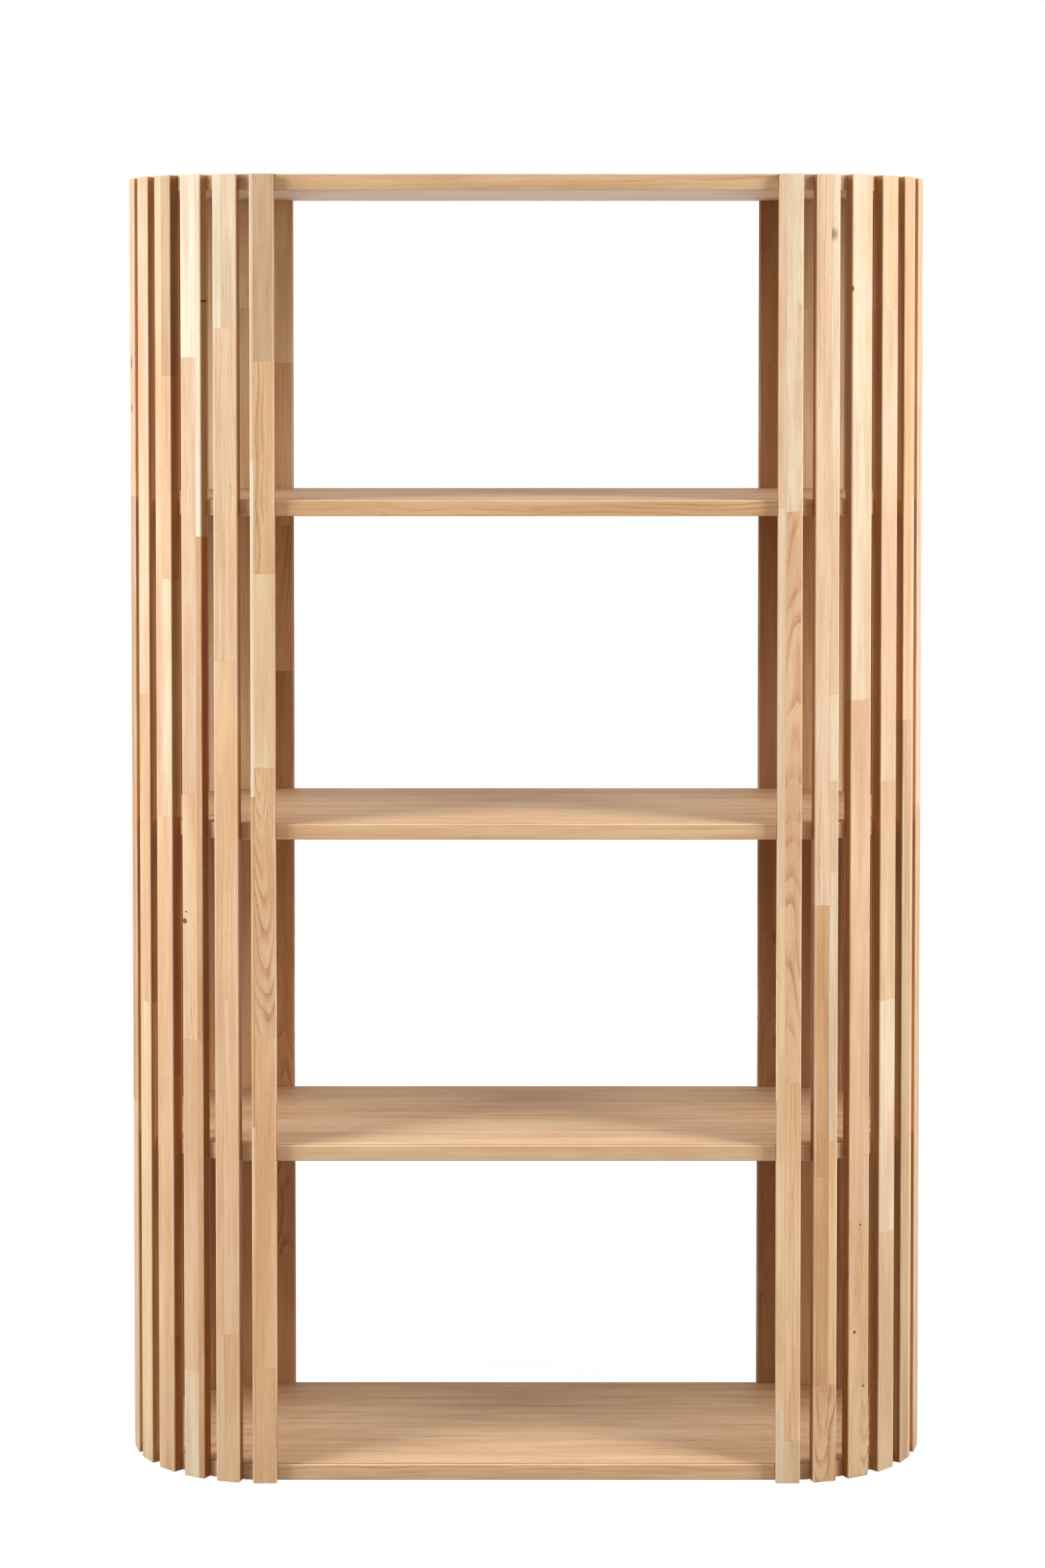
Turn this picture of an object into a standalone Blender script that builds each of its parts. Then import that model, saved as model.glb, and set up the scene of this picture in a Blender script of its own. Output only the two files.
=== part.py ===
"""Free-standing oak bookcase with half-round slatted ends.

Shelves with a stadium outline are let into upright slats that stand round both ends.
Units are metres. +Z is up, the front faces -Y, and the origin is on the floor under the middle.
"""

import math

import bmesh
import bpy
from mathutils import Matrix, Vector

# Overall size
WIDTH = 1.120
DEPTH = 0.400
HEIGHT = 1.800

# Shelves
SHELF_COUNT = 5
SHELF_THICKNESS = 0.022
SHELF_EASE = 0.0015

# Upright slats, with the first and last of each end as posts
SLATS_PER_END = 13
SLAT_WIDTH = 0.0335
SLAT_THICKNESS = 0.018
SLAT_EASE = 0.002
HOUSING_DEPTH = 0.004

# Dowels that pin the posts to every shelf
DOWEL_DIAMETER = 0.008
DOWEL_LENGTH = 0.036
DOWEL_CHAMFER = 0.0012
POST_COVER = 0.008

# Clearances
FIT_GAP = 0.0003
CUT_MARGIN = 0.010
MERGE_DISTANCE = 0.00001

# Fineness of round shapes
END_STEPS = 36
DOWEL_SIDES = 12
SHARP_ANGLE = math.radians(40)
FLAT_ANGLE = math.radians(0.5)

# Places worked out from the sizes above
END_RADIUS = DEPTH / 2
END_X = WIDTH / 2 - END_RADIUS
SLAT_BACK_RADIUS = END_RADIUS - SLAT_THICKNESS
SHELF_RADIUS = SLAT_BACK_RADIUS + HOUSING_DEPTH
SHELF_PITCH = (HEIGHT - SHELF_THICKNESS) / (SHELF_COUNT - 1)
DOWEL_MIDDLE_RADIUS = END_RADIUS - POST_COVER - DOWEL_LENGTH / 2

ENDS = (("left", -1), ("right", 1))
FACES = (("front", 0.0), ("back", math.pi))

OAK_SLAT = ("oak_slat", (0.72, 0.47, 0.27, 1.0), 0.55)
OAK_SHELF = ("oak_shelf", (0.60, 0.39, 0.22, 1.0), 0.55)
BEECH_DOWEL = ("beech_dowel", (0.66, 0.45, 0.28, 1.0), 0.65)


def clear_scene():
    """Removes every object that the file holds."""
    for obj in list(bpy.data.objects):
        bpy.data.objects.remove(obj, do_unlink=True)


def add_collection(name):
    """Makes an empty collection in the scene."""
    collection = bpy.data.collections.new(name)
    bpy.context.scene.collection.children.link(collection)
    return collection


def add_material(name, colour, roughness):
    """Makes a plain wood finish."""
    material = bpy.data.materials.new(name)
    material.use_nodes = True
    shader = material.node_tree.nodes["Principled BSDF"]
    shader.inputs["Base Color"].default_value = colour
    shader.inputs["Roughness"].default_value = roughness
    shader.inputs["Metallic"].default_value = 0.0
    return material


def slat_angle(index):
    """The way a slat faces: zero is straight forward, half a turn is straight back."""
    return math.pi * index / (SLATS_PER_END - 1)


def round_end(side, angle, radius, height):
    """A point at this radius from the middle of the left (-1) or right (1) half-round end."""
    return Vector((side * (END_X + radius * math.sin(angle)), -radius * math.cos(angle), height))


def shelf_middle(level):
    """The height of the middle of a shelf, counted from 0 at the floor."""
    return SHELF_THICKNESS / 2 + level * SHELF_PITCH


def mesh_from(name, bm):
    """Turns a bmesh into a mesh with smooth round faces and sharp edges."""
    mesh = bpy.data.meshes.new(name)
    bm.to_mesh(mesh)
    bm.free()
    mesh.shade_smooth()
    mesh.set_sharp_from_angle(angle=SHARP_ANGLE)
    return mesh


def box_into(bm, size, place):
    """Adds a box of this size to a bmesh, at a place given as a matrix."""
    bmesh.ops.create_cube(bm, size=1.0, matrix=place @ Matrix.Diagonal((*size, 1.0)))


def rod_into(bm, radius, length, place):
    """Adds a rod along Z of the place to a bmesh."""
    bmesh.ops.create_cone(
        bm,
        cap_ends=True,
        segments=DOWEL_SIDES,
        radius1=radius,
        radius2=radius,
        depth=length,
        matrix=place,
    )


def add_bevel(obj, width):
    """Eases the square edges of a piece and leaves its round sides alone."""
    bevel = obj.modifiers.new("eased_edges", "BEVEL")
    bevel.width = width
    bevel.segments = 1
    bevel.limit_method = "ANGLE"
    bevel.angle_limit = SHARP_ANGLE


def add_cut(obj, cutter):
    """Cuts the shape of a cutter out of a piece."""
    cut = obj.modifiers.new(cutter.name, "BOOLEAN")
    cut.operation = "DIFFERENCE"
    cut.solver = "EXACT"
    cut.object = cutter


def add_part(name, mesh, collection, frame, place):
    """Puts a piece into the bookcase, placed against the empty that carries it all."""
    obj = bpy.data.objects.new(name, mesh)
    collection.objects.link(obj)
    obj.parent = frame
    obj.matrix_local = place
    return obj


def add_cutter(name, bm, collection):
    """Makes a cutter that shows as wire only."""
    cutter = bpy.data.objects.new(name, mesh_from(name, bm))
    collection.objects.link(cutter)
    cutter.hide_render = True
    cutter.display_type = "WIRE"
    return cutter


def stadium_points():
    """The shelf outline, anticlockwise: two half circles joined by straight sides."""
    points = []
    for step in range(END_STEPS + 1):
        points.append(round_end(1, math.pi * step / END_STEPS, SHELF_RADIUS, 0.0))
    for step in range(END_STEPS + 1):
        points.append(round_end(-1, math.pi - math.pi * step / END_STEPS, SHELF_RADIUS, 0.0))
    return points


def shelf_mesh(collection):
    """A flat board with the stadium outline, drawn as a filled curve and made a mesh."""
    curve = bpy.data.curves.new("shelf_outline", "CURVE")
    curve.dimensions = "2D"
    curve.fill_mode = "BOTH"
    curve.extrude = SHELF_THICKNESS / 2
    points = stadium_points()
    spline = curve.splines.new("POLY")
    spline.points.add(len(points) - 1)
    for target, point in zip(spline.points, points):
        target.co = (*point, 1.0)
    spline.use_cyclic_u = True
    outline = bpy.data.objects.new("shelf_outline", curve)
    collection.objects.link(outline)
    graph = bpy.context.evaluated_depsgraph_get()
    drawn = bpy.data.meshes.new_from_object(outline.evaluated_get(graph))
    bpy.data.objects.remove(outline, do_unlink=True)
    bm = bmesh.new()
    bm.from_mesh(drawn)
    bpy.data.meshes.remove(drawn)
    bmesh.ops.remove_doubles(bm, verts=bm.verts, dist=MERGE_DISTANCE)
    bmesh.ops.dissolve_limit(bm, angle_limit=FLAT_ANGLE, verts=bm.verts, edges=bm.edges)
    bmesh.ops.recalc_face_normals(bm, faces=bm.faces)
    return mesh_from("shelf", bm)


def slat_mesh():
    """A full-height bar: X is its width, Y its thickness."""
    bm = bmesh.new()
    box_into(bm, (SLAT_WIDTH, SLAT_THICKNESS, HEIGHT), Matrix.Identity(4))
    return mesh_from("slat", bm)


def dowel_mesh():
    """A round dowel along Z."""
    bm = bmesh.new()
    rod_into(bm, DOWEL_DIAMETER / 2, DOWEL_LENGTH, Matrix.Identity(4))
    return mesh_from("dowel", bm)


def slat_place(side, angle):
    """Where a slat stands, with its outer face touching the outer circle."""
    middle = round_end(side, angle, END_RADIUS - SLAT_THICKNESS / 2, HEIGHT / 2)
    return Matrix.Translation(middle) @ Matrix.Rotation(side * angle, 4, "Z")


def dowel_place(side, angle, level):
    """Where a dowel lies: along the radius, half way up the edge of a shelf."""
    middle = round_end(side, angle, DOWEL_MIDDLE_RADIUS, shelf_middle(level))
    return Matrix.Translation(middle) @ Matrix.Rotation(math.pi / 2, 4, "X")


def housing_cutter(collection):
    """Slots for all the slats, which reach the shelves' edges from outside."""
    bm = bmesh.new()
    depth = SLAT_THICKNESS + FIT_GAP + CUT_MARGIN
    size = (SLAT_WIDTH + 2 * FIT_GAP, depth, HEIGHT + 2 * CUT_MARGIN)
    radius = SLAT_BACK_RADIUS - FIT_GAP + depth / 2
    for _, side in ENDS:
        for index in range(SLATS_PER_END):
            angle = slat_angle(index)
            middle = round_end(side, angle, radius, HEIGHT / 2)
            turn = Matrix.Rotation(side * angle, 4, "Z")
            box_into(bm, size, Matrix.Translation(middle) @ turn)
    return add_cutter("slat_housings", bm, collection)


def bore_cutter(collection):
    """Blind bores for all the dowels, each reaching into a post and a shelf."""
    bm = bmesh.new()
    radius = DOWEL_DIAMETER / 2 + FIT_GAP
    length = DOWEL_LENGTH + 2 * FIT_GAP
    for _, side in ENDS:
        for _, angle in FACES:
            for level in range(SHELF_COUNT):
                rod_into(bm, radius, length, dowel_place(side, angle, level))
    return add_cutter("dowel_bores", bm, collection)


def slat_name(end, index):
    """The name of a slat: the outermost two of an end are its front and back posts."""
    if index == 0:
        return f"{end}_front_post"
    if index == SLATS_PER_END - 1:
        return f"{end}_back_post"
    return f"{end}_slat_{index:02d}"


def build():
    """Builds the bookcase."""
    clear_scene()
    parts = add_collection("slatted_bookcase")
    cutters = add_collection("cutters")
    frame = bpy.data.objects.new("bookcase_frame", None)
    parts.objects.link(frame)
    housings = housing_cutter(cutters)
    bores = bore_cutter(cutters)

    board = shelf_mesh(cutters)
    board.materials.append(add_material(*OAK_SHELF))
    for level in range(SHELF_COUNT):
        place = Matrix.Translation((0.0, 0.0, shelf_middle(level)))
        shelf = add_part(f"shelf_{level + 1}", board, parts, frame, place)
        add_bevel(shelf, SHELF_EASE)
        add_cut(shelf, housings)
        add_cut(shelf, bores)

    bar = slat_mesh()
    bar.materials.append(add_material(*OAK_SLAT))
    for end, side in ENDS:
        for index in range(SLATS_PER_END):
            place = slat_place(side, slat_angle(index))
            slat = add_part(slat_name(end, index), bar, parts, frame, place)
            add_bevel(slat, SLAT_EASE)
            if index in (0, SLATS_PER_END - 1):
                add_cut(slat, bores)

    peg = dowel_mesh()
    peg.materials.append(add_material(*BEECH_DOWEL))
    for end, side in ENDS:
        for face, angle in FACES:
            for level in range(SHELF_COUNT):
                place = dowel_place(side, angle, level)
                dowel = add_part(f"{end}_{face}_dowel_{level + 1}", peg, parts, frame, place)
                add_bevel(dowel, DOWEL_CHAMFER)


build()
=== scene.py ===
# %% [markdown]
# # A slatted oak bookcase
# The bookcase has five shelves with half-round ends, and thirteen upright slats round each end.
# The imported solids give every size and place. This lesson dresses them: each board gets eased
# edges, glued-up staves, growth rings, pores and knots, and then they are lit softly.

# %% Load the fixed frame
import math

import bpy
import numpy as np
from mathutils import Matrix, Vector


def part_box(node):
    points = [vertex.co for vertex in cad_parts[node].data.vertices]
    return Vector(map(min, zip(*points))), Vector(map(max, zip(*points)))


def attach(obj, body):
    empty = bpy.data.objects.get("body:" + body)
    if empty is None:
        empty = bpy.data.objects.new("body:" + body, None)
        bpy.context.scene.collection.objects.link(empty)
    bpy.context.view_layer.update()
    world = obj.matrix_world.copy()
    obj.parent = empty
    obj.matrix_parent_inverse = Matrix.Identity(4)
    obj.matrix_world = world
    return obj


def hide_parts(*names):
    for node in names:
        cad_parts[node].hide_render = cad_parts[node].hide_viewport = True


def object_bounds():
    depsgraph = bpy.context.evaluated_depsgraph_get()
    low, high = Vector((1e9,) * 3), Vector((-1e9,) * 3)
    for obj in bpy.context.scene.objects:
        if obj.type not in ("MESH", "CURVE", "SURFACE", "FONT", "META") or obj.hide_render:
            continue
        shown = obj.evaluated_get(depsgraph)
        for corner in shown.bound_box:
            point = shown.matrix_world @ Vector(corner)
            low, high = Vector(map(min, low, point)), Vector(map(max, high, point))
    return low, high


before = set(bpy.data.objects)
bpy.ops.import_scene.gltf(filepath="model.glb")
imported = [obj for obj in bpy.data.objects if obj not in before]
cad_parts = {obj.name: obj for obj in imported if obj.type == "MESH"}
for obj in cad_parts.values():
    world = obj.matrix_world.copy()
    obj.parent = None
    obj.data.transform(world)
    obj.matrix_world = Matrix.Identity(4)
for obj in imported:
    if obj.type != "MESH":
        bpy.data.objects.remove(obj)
cad_low, cad_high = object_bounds()
print("solids in the frame:", len(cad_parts))

# %% [markdown]
# ## Sizes
# Nothing is measured twice. A front post faces straight forward, so its box is the size of one
# slat, and the box of a shelf gives the board. The half-round ends follow from the whole box:
# its half depth is their radius, and their middle lies that far in from the side.

# %% Sizes read from the frame


def node_box(node):
    """The lowest and the highest corner of a solid, as arrays."""
    low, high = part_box(node)
    return np.array(low), np.array(high)


ENDS = (("left", -1), ("right", 1))
post_low, post_high = node_box("left_front_post")
SLAT_WIDTH, SLAT_THICKNESS, TOP = post_high - post_low
SLATS_PER_END = 2 + sum(name.startswith("left_slat_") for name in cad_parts)
SHELVES = sorted(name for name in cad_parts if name.startswith("shelf_"))
shelf_low, shelf_high = node_box(SHELVES[0])
SHELF_RADIUS = shelf_high[1]
SHELF_THICKNESS = shelf_high[2] - shelf_low[2]
SHELF_PITCH = node_box(SHELVES[1])[0][2] - shelf_low[2]
END_RADIUS = cad_high.y
END_X = cad_high.x - END_RADIUS
SLAT_BACK_RADIUS = END_RADIUS - SLAT_THICKNESS
print(f"slat {SLAT_WIDTH:.4f} x {SLAT_THICKNESS:.4f} x {TOP:.3f} m, {SLATS_PER_END} at each end")

# %% [markdown]
# ## Camera
# The picture was taken from about eye height with the lens shifted down, which keeps the
# uprights upright. A tilt alone would make them lean, so the camera has a shift and only a
# little tilt. The lens is long: the bookcase is seen from about five metres away.

# %% Camera
CAMERA_PLACE = (-0.0053, -4.8321, 1.5783)
CAMERA_TILT = math.radians(2.246)
CAMERA_LENS = 78.18
CAMERA_SHIFT = -0.20

camera_data = bpy.data.cameras.new("camera")
camera_data.lens = CAMERA_LENS
camera_data.shift_y = CAMERA_SHIFT
camera = bpy.data.objects.new("camera", camera_data)
camera.location = CAMERA_PLACE
camera.rotation_euler = (math.pi / 2 - CAMERA_TILT, 0.0, 0.0)
bpy.context.scene.collection.objects.link(camera)
bpy.context.scene.camera = camera
print("camera", CAMERA_LENS, "mm, shift", CAMERA_SHIFT)

# %% [markdown]
# ## Tones of oak
# Boards like these are glued up from many short staves, so no two neighbours match: some are
# nearly white sapwood, some yellow, some pink, some olive. A tone is the colour of clean wood
# between the grain lines. They are written as screen colours and made linear for the shader.

# %% Tones


def linear(*screen):
    """Screen colour (0 to 255) to linear light.

    A share c of 255 gives c / 12.92 in the toe, and ((c + 0.055) / 1.055) ** 2.4 above it.
    """
    part = np.array(screen) / 255
    return np.where(part <= 0.04045, part / 12.92, ((part + 0.055) / 1.055) ** 2.4)


TONES = {
    "cream": linear(229, 214, 187),
    "butter": linear(237, 212, 173),
    "pale": linear(226, 203, 171),
    "straw": linear(227, 197, 155),
    "honey": linear(226, 188, 145),
    "amber": linear(220, 178, 133),
    "peach": linear(226, 189, 151),
    "rose": linear(225, 193, 161),
    "beige": linear(220, 188, 151),
    "tan": linear(218, 179, 138),
    "sand": linear(217, 180, 137),
    "oat": linear(219, 188, 149),
    "olive": linear(202, 170, 133),
    "russet": linear(204, 161, 117),
    # Painted shade, not a tone of the wood
    "shade_umber": linear(173, 130, 91),
}
COMMON_TONES = ("pale", "straw", "honey", "amber", "peach", "rose", "beige", "tan")
# The shade_umber tone is painted shade: the inner sides of some rear slats stand in shade and
# get it, and their outer face keeps a plain tan
OUTER_TONES = {"shade_umber": "tan"}
print("tones:", ", ".join(TONES))

# %% [markdown]
# ## Shader helpers
# A finish is a small network of nodes. A few helpers keep it readable: the first adds a node and
# fills its inputs in order, with numbers or with other nodes' outputs, and the next ones name what
# is used most. The last makes a noise whose grain is long with the fibres and narrow across
# them, as everything in wood is.

# %% Nodes and sums


def add_node(tree, kind, *values, **options):
    """Adds a shader node and fills its inputs in order. None leaves an input alone."""
    made = tree.nodes.new("ShaderNode" + kind)
    for name, value in options.items():
        setattr(made, name, value)
    for socket, value in zip(made.inputs, values):
        if isinstance(value, bpy.types.NodeSocket):
            tree.links.new(value, socket)
        elif value is not None:
            socket.default_value = value
    return made


def maths(tree, operation, *values):
    """One sum on numbers."""
    return add_node(tree, "Math", *values, operation=operation).outputs[0]


def ramp(tree, value, start, end, low=0.0, high=1.0):
    """A smooth step: low before start, high after end."""
    step = add_node(tree, "MapRange", value, start, end, low, high, interpolation_type="SMOOTHSTEP")
    return step.outputs[0]


def length(tree, vector):
    """How long a vector is."""
    return add_node(tree, "VectorMath", vector, operation="LENGTH").outputs[1]


def parts(tree, vector):
    """The three numbers of a vector."""
    return add_node(tree, "SeparateXYZ", vector).outputs


print("sums ready")

# %% Colours, bumps and noise
NOISE_ROUGHNESS = 0.55


def blend(tree, factor, first, second, mode="MIX"):
    """Mixes two colours by a factor. The five sockets between are for other kinds of values."""
    unused = (None,) * 5
    mix = add_node(tree, "Mix", factor, *unused, first, second, data_type="RGBA", blend_type=mode)
    return mix.outputs[2]


def add_bump(tree, shader, height, strength, depth, sunk=False):
    """Makes a surface look raised by a height, or sunk by it."""
    bump = add_node(tree, "Bump", invert=sunk)
    bump.inputs["Strength"].default_value = strength
    bump.inputs["Distance"].default_value = depth
    tree.links.new(height, bump.inputs["Height"])
    tree.links.new(bump.outputs[0], shader.inputs["Normal"])


def fibre_noise(tree, grain, cells, detail=2.0):
    """Noise from 0 to 1 with so many cells a metre across the fibres and along them."""
    across, along = cells
    scaled = add_node(tree, "VectorMath", grain, (across, across, along), operation="MULTIPLY")
    noise = add_node(tree, "TexNoise", scaled.outputs[0], None, 1.0, detail, NOISE_ROUGHNESS)
    return noise.outputs[0]


def new_material(name):
    """An empty node material and its shader."""
    material = bpy.data.materials.new(name)
    material.use_nodes = True
    return material, material.node_tree, material.node_tree.nodes["Principled BSDF"]


print("colours, bumps and noise ready")

# %% [markdown]
# ## The figure of oak
# Oak is cut from a log, so its figure is a slice through growth rings. The grain coordinates of
# a stave are metres from the pith across the log, and metres along it. Distance from the pith,
# bent a little by noise, gives the rings: each starts with a band of open pores, and fades.
# A stave cut beside the pith shows straight lines, and one cut above it shows arches.

# %% Growth rings
RING_WIDTH = 0.0031
# Metres that each noise bends the rings by, and its cells a metre across and along the fibres
RING_BEND = 0.010
BEND_CELLS = (17.0, 1.5)
RING_UNEVEN = 0.008
UNEVEN_CELLS = (95.0, 3.5)
RING_WAVE = 0.007
WAVE_CELLS = (14.0, 7.0)
# Strength of figure at which the uneven lines begin to even out, and at which they are even
BOLD_FIGURE = (0.9, 1.4)
# Parts of a ring in which early wood comes and goes
EARLY_COMES = (0.0, 0.06)
EARLY_GOES = (0.08, 0.62)
FAINT_CELLS = (55.0, 1.6)
FAINT_RANGE = (0.38, 0.66)
FAINTEST = 0.12


def ring_bands(tree, grain, figure, push):
    """Early wood, nought to one times the figure: how far a point lies in its ring.

    The distance from the pith is bent by a slow noise. A quiet stave gets a narrow noise too, which
    makes its lines uneven, and a figured one a short noise, which waves them. The distance is
    divided by the ring width, a push moves it on, and the part after the point fades from one to
    nought. One more noise makes some rings faint.
    """
    flat = add_node(tree, "VectorMath", grain, (1.0, 1.0, 0.0), operation="MULTIPLY").outputs[0]
    bent = fibre_noise(tree, grain, BEND_CELLS)
    bent = maths(tree, "MULTIPLY_ADD", bent, RING_BEND, length(tree, flat))
    uneven = ramp(tree, figure, *BOLD_FIGURE, RING_UNEVEN, 0.0)
    bent = maths(tree, "MULTIPLY_ADD", fibre_noise(tree, grain, UNEVEN_CELLS, 1.0), uneven, bent)
    wave = maths(tree, "MULTIPLY", fibre_noise(tree, grain, WAVE_CELLS, 1.0), figure)
    bent = maths(tree, "MULTIPLY_ADD", wave, RING_WAVE, bent)
    count = maths(tree, "ADD", maths(tree, "DIVIDE", bent, RING_WIDTH), push)
    part = maths(tree, "FRACT", count)
    comes = ramp(tree, part, *EARLY_COMES)
    goes = ramp(tree, part, *EARLY_GOES, 1.0, 0.0)
    strong = ramp(tree, fibre_noise(tree, grain, FAINT_CELLS, 1.0), *FAINT_RANGE, FAINTEST, 1.0)
    shown = maths(tree, "MULTIPLY", strong, figure)
    return maths(tree, "MULTIPLY", maths(tree, "MULTIPLY", goes, comes), shown)


print("growth rings every", RING_WIDTH * 1000, "mm")

# %% [markdown]
# ## The surface of oak
# Between the rings, oak is full of small marks: fibres, short dark dashes, and pores that are
# dense in early wood and rare in late wood. Wide soft bands of a paler and a rosier tint run
# along a stave. Its arrises are painted pale: partly rubbing from handling, partly a painted
# highlight where an arris catches the light. Each mark is a noise, cut to the range in which it
# shows. The dark marks lie a little deeper than the wood round them, and fibres and pores are
# less glossy.

# %% Marks in the wood
# Cells a metre across and along the fibres, and the range of the noise in which a mark comes in
TINT_CELLS = ((26.0, 5.0), (85.0, 4.5))
TINT_RANGE = (0.38, 0.62)
FIBRE_CELLS = (520.0, 7.0)
FIBRE_RANGE = (0.30, 0.75)
DASH_CELLS = (620.0, 21.0)
DASH_RANGE = (0.63, 0.74)
PORE_CELLS = (1500.0, 95.0)
PORE_RANGE = (0.56, 0.70)
LATE_PORES = 0.2
RUB_CELLS = (90.0, 9.0)
RUB_RANGE = (0.30, 0.65)
LEAST_RUBBED = 0.2


def tint_bands(tree, grain):
    """Where a stave is rosy, nought to one: the mean of a wide noise and a narrow one."""
    wide, narrow = (fibre_noise(tree, grain, cells) for cells in TINT_CELLS)
    half = maths(tree, "MULTIPLY", wide, 0.5)
    return ramp(tree, maths(tree, "MULTIPLY_ADD", narrow, 0.5, half), *TINT_RANGE)


def wood_marks(tree, grain, early):
    """Fibres, dashes and pores, each nought to one. Pores follow the early wood."""
    fibres = ramp(tree, fibre_noise(tree, grain, FIBRE_CELLS, 3.0), *FIBRE_RANGE)
    dashes = ramp(tree, fibre_noise(tree, grain, DASH_CELLS, 1.0), *DASH_RANGE)
    pores = ramp(tree, fibre_noise(tree, grain, PORE_CELLS, 1.0), *PORE_RANGE)
    dense = maths(tree, "MULTIPLY_ADD", early, 1 - LATE_PORES, LATE_PORES)
    return fibres, dashes, maths(tree, "MULTIPLY", pores, dense)


def rubbed_and_highlit_wood(tree, grain, wear_and_highlight):
    """Where the arrises are painted pale, partly as rubbing and partly as a painted highlight: the mask
    times a patchy noise.
    """
    patches = ramp(tree, fibre_noise(tree, grain, RUB_CELLS), *RUB_RANGE, LEAST_RUBBED, 1.0)
    return maths(tree, "MULTIPLY", wear_and_highlight, patches)


print("pores:", PORE_CELLS[0], "cells a metre across the fibres")

# %% Finish of oak
PALE_TINT = (1.06, 1.09, 1.12, 1.0)
ROSY_TINT = (0.93, 0.87, 0.84, 1.0)
RING_BROWN = (*linear(190, 140, 92), 1.0)
PORE_BROWN = (*linear(150, 100, 58), 1.0)
KNOT_BROWN = (*linear(52, 30, 16), 1.0)
# Pale of the arrises: partly rubbing from handling, partly a painted highlight
WORN_AND_HIGHLIT_OAK = (*linear(238, 216, 188), 1.0)
# Share of brown, the brown, and depth against a pore, of early wood, fibres, dashes and pores
MARK_SHARES = (0.30, 0.14, 0.16, 0.40)
MARK_BROWNS = (RING_BROWN, RING_BROWN, PORE_BROWN, PORE_BROWN)
MARK_DEPTHS = (0.35, 0.25, 0.50, 1.0)
WORN_AND_HIGHLIT_SHARE = 0.45
OAK_ROUGHNESS = 0.56
FIBRE_ROUGHER = 0.10
PORE_ROUGHER = 0.18
OAK_GLOSS = 0.22
OAK_BUMP = 0.30
OAK_DEPTH = 0.0002


def finish_oak(tree, shader, grain, tone, dark, wear_and_highlight, figure, push=0.0):
    """Colours a board, and gives it its gloss and its hollows.

    The tone is tinted, darkened by each mark in turn, paled on the arrises, partly as rubbing and
    partly as a painted highlight, and covered by what is dark: knots and glue lines.
    """
    early = ring_bands(tree, grain, figure, push)
    fibres, dashes, pores = wood_marks(tree, grain, early)
    marks = (early, fibres, dashes, pores)
    tint = blend(tree, tint_bands(tree, grain), PALE_TINT, ROSY_TINT)
    colour = blend(tree, 1.0, tone, tint, "MULTIPLY")
    hollows = 0.0
    for mark, share, brown, depth in zip(marks, MARK_SHARES, MARK_BROWNS, MARK_DEPTHS):
        colour = blend(tree, maths(tree, "MULTIPLY", mark, share), colour, brown, "MULTIPLY")
        hollows = maths(tree, "MULTIPLY_ADD", mark, depth, hollows)
    rubbed_and_highlit = maths(tree, "MULTIPLY", rubbed_and_highlit_wood(tree, grain, wear_and_highlight), WORN_AND_HIGHLIT_SHARE)
    colour = blend(tree, rubbed_and_highlit, colour, WORN_AND_HIGHLIT_OAK)
    colour = blend(tree, dark, colour, KNOT_BROWN)
    tree.links.new(colour, shader.inputs["Base Color"])
    rough = maths(tree, "MULTIPLY_ADD", fibres, FIBRE_ROUGHER, OAK_ROUGHNESS)
    rough = maths(tree, "MULTIPLY_ADD", pores, PORE_ROUGHER, rough)
    tree.links.new(rough, shader.inputs["Roughness"])
    shader.inputs["Specular IOR Level"].default_value = OAK_GLOSS
    add_bump(tree, shader, hollows, OAK_BUMP, OAK_DEPTH, sunk=True)


print("marks in oak:", len(MARK_SHARES))

# %% [markdown]
# ## Finish of the slats
# A slat carries its figure with it: every corner of its mesh holds grain coordinates, the tone
# of its stave, how far the nearest knot is and how far the glue lines are. All of these change
# evenly over a face, so a few large faces carry them exactly, and they stay put at any angle.
# One more value marks the rounded arrises, which are painted pale, partly as rubbing from handling
# and partly as a painted highlight, and says how strongly the stave is figured. Round a knot, the
# growth rings are pushed aside.

# %% Slat finish
GLUE_LINE = 0.00035
GLUE_DARK = 0.20
# Rim and reach of a knot in half sizes of it, its share of brown, and the rings it pushes by
KNOT_RIM = (0.45, 1.10)
KNOT_DARK = 0.85
KNOT_REACH = 4.0
KNOT_PUSH = 3.0


def attribute(tree, name):
    """Reads a vector that the mesh carries."""
    return add_node(tree, "Attribute", attribute_name=name).outputs["Vector"]


def slat_finish():
    """Oak whose staves, knots and glue lines come from the mesh."""
    material, tree, shader = new_material("oiled_oak_slat")
    grain, tone = attribute(tree, "grain"), attribute(tree, "tone")
    wear_and_highlight, figure, _ = parts(tree, attribute(tree, "surface"))
    knot = length(tree, attribute(tree, "knot"))
    core = ramp(tree, knot, *KNOT_RIM, KNOT_DARK, 0.0)
    push = ramp(tree, knot, 0.0, KNOT_REACH, KNOT_PUSH, 0.0)
    below, above, beside = parts(tree, attribute(tree, "glue"))
    nearest = maths(tree, "MINIMUM", maths(tree, "MINIMUM", below, above), beside)
    line = ramp(tree, nearest, 0.0, GLUE_LINE, GLUE_DARK, 0.0)
    dark = maths(tree, "MAXIMUM", core, line)
    finish_oak(tree, shader, grain, tone, dark, wear_and_highlight, figure, push)
    return material


slat_oak = slat_finish()
print("made", slat_oak.name)

# %% [markdown]
# ## Cut list of the slats
# The slats are ripped from a glued-up panel, so a slat shows one wide stave, and often a sliver
# of its neighbour beside a long seam. Staves end in butt joints. This list gives, for the slats
# that face the viewer, where the seam runs (share of the width from the left), and each stave
# from the floor up: the height it ends at, its tone and its figure. The rest is drawn by lot.

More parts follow.
